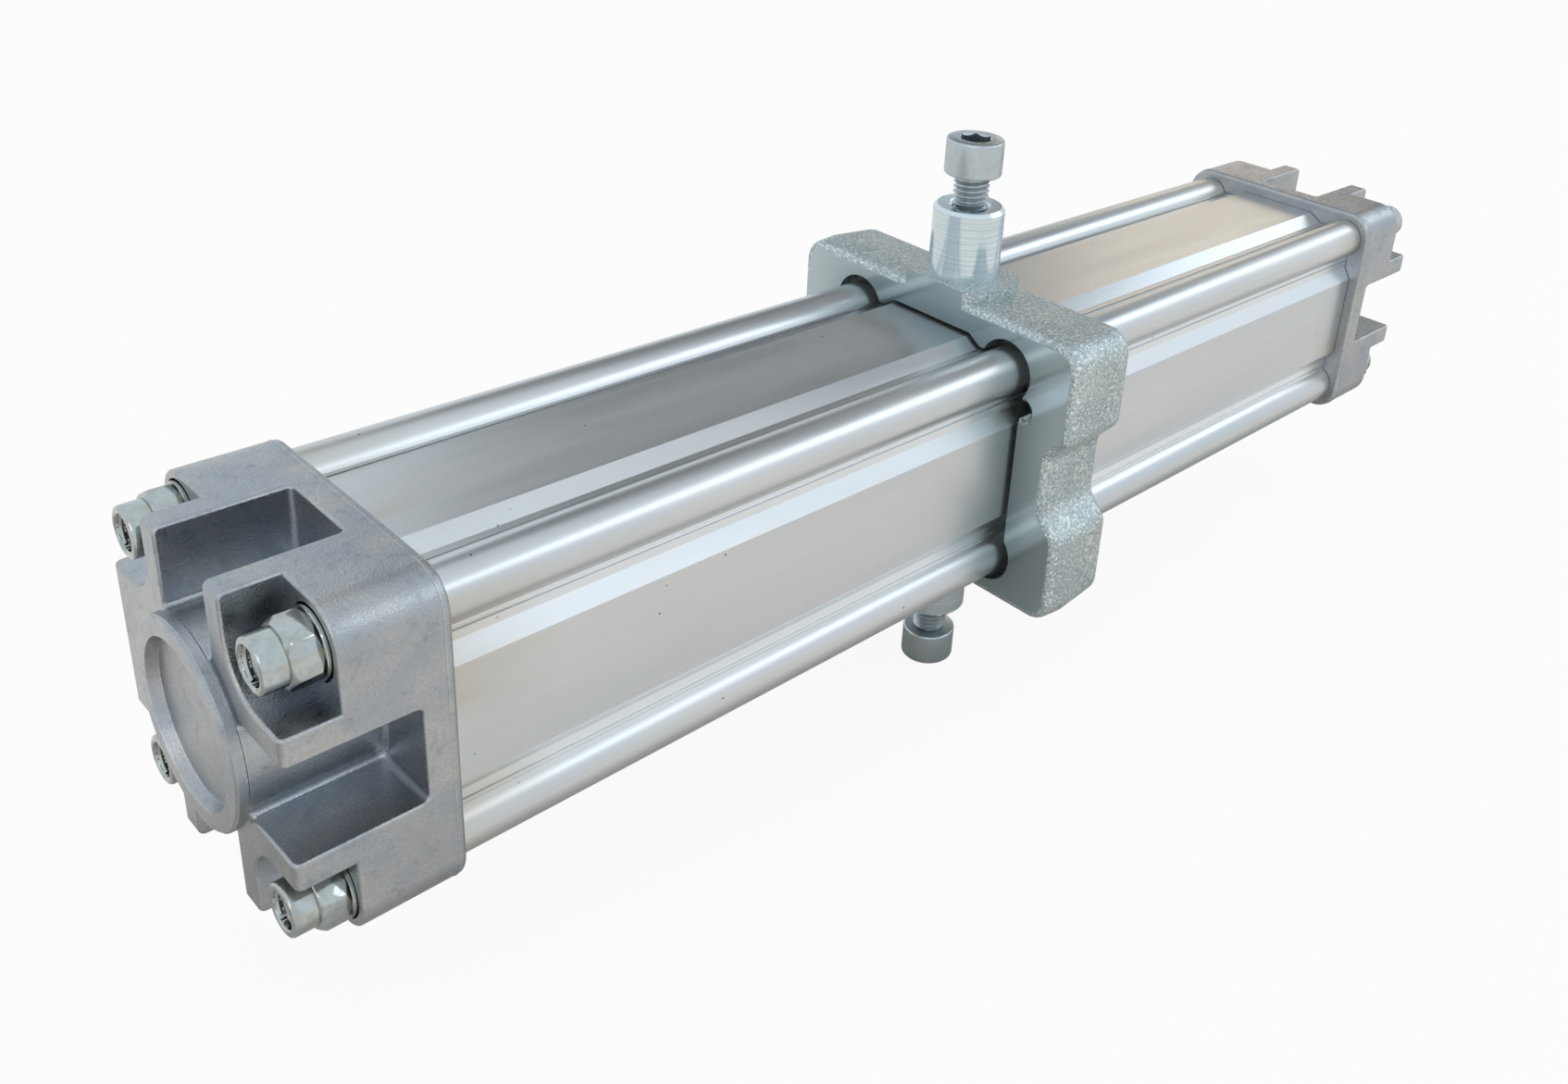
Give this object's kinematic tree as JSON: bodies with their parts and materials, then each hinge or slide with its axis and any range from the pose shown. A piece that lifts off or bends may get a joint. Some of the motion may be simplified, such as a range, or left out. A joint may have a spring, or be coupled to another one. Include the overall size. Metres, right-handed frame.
{
  "type": "pneumatic cylinder",
  "caption": "Double-acting profile-tube pneumatic cylinder with square end caps, a pinned trunnion block round the barrel and a tapped piston rod.",
  "frame": {"origin": "centre of the rear cap's mounting face, in the plane of the four web ends, on the rod axis", "axes": "+X along the rod axis from the rear cap towards the rod end; +Z along the upper trunnion pin; the air ports face +Y; the rod is retracted"},
  "size_m": [0.461, 0.1052, 0.1676],
  "materials": {
    "cast_aluminium": "satin sand-like casting skin",
    "anodised_aluminium": "matt anodised extrusion",
    "zinc_plated_steel": "zinc plated",
    "zinc_plated_casting": "zinc plated, rough skin with machined faces",
    "plated_screw": "zinc plated",
    "black_steel": "black oxide",
    "chromed_rod": "hard chrome, ground",
    "turned_aluminium": "turned",
    "ferrite": "bonded ferrite",
    "guide_plastic": "plain",
    "black_rubber": "matt",
    "green_polyurethane": "satin",
    "sintered_bronze": "oiled sintered bronze",
    "brass": "turned"
  },
  "bodies": {
    "housing": {"rear_cap": "cast_aluminium", "front_cap": "cast_aluminium", "barrel": "anodised_aluminium", "tie_rods": "zinc_plated_steel", "rear_tie_nuts": "zinc_plated_steel", "front_tie_nuts": "zinc_plated_steel", "trunnion_block": "zinc_plated_casting", "upper_pin_screw": "plated_screw", "lower_pin_screw": "plated_screw", "trunnion_set_screws": "black_steel", "rear_cushion_seal": "green_polyurethane", "front_cushion_seal": "green_polyurethane", "rear_barrel_seal": "black_rubber", "front_barrel_seal": "black_rubber", "rod_bearing": "sintered_bronze", "rod_wiper": "green_polyurethane", "rear_cushion_needle": "brass", "front_cushion_needle": "brass"},
    "rod_and_piston": {"piston_rod": "chromed_rod", "piston_halves": "turned_aluminium", "piston_seals": "green_polyurethane", "piston_guide_ring": "guide_plastic", "piston_magnet": "ferrite", "piston_nut": "black_steel", "rear_cushion_sleeve": "turned_aluminium", "front_cushion_sleeve": "turned_aluminium"}
  },
  "joints": [
    {"name": "rod_slide", "type": "slide", "parent": "housing", "child": "rod_and_piston", "axis": [1, 0, 0], "range_m": [0, 0.3]}
  ]
}
